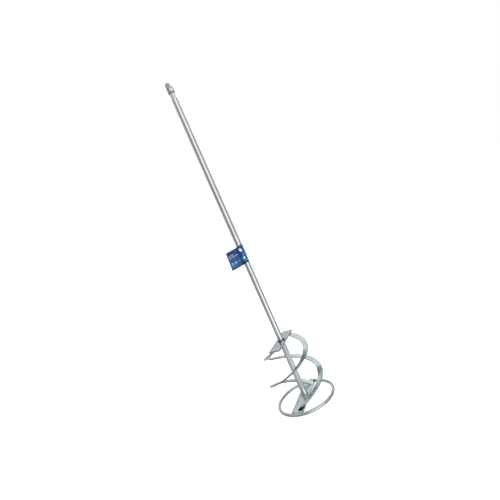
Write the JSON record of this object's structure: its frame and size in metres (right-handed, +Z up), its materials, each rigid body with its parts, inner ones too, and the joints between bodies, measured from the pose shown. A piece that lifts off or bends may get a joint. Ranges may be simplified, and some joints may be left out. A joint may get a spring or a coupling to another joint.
{
  "type": "mortar mixing paddle",
  "caption": "Long round shaft with a hexagonal shank, a welded head of crossbars, helical blades and a wire ring, a wrapped label and a push-on shank cap.",
  "frame": {"origin": "on the shaft's axis, level with the underside of the ring, which is what the paddle stands on", "axes": "+Z up the shaft towards the shank, +X along the lower crossbar"},
  "size_m": [0.1, 0.1, 0.5701],
  "materials": {
    "zinc_steel": "bright zinc plating, semi-gloss",
    "weld_metal": "dark scale over plated weld beads",
    "printed_label": "blue printed film, satin",
    "grey_plastic": "moulded grey plastic, satin"
  },
  "bodies": {
    "paddle": {"shaft": "zinc_steel", "lower_crossbar": "zinc_steel", "upper_crossbar": "zinc_steel", "bottom_ring": "zinc_steel", "ring_closing_weld": "weld_metal", "helical_blade_a": "zinc_steel", "helical_blade_b": "zinc_steel", "upper_hub_weld_top": "weld_metal", "upper_hub_weld_under": "weld_metal", "lower_hub_weld_top": "weld_metal", "lower_hub_weld_under": "weld_metal", "blade_a_top_weld": "weld_metal", "blade_b_top_weld": "weld_metal", "blade_a_foot_weld": "weld_metal", "blade_b_foot_weld": "weld_metal", "ring_weld_right": "weld_metal", "ring_weld_left": "weld_metal", "wrap_label": "printed_label"},
    "cap": {"shank_cap": "grey_plastic"}
  },
  "joints": [
    {"name": "cap_pull", "type": "slide", "parent": "paddle", "child": "cap", "axis": [0, 0, 1], "range_m": [0, 0.03]}
  ]
}
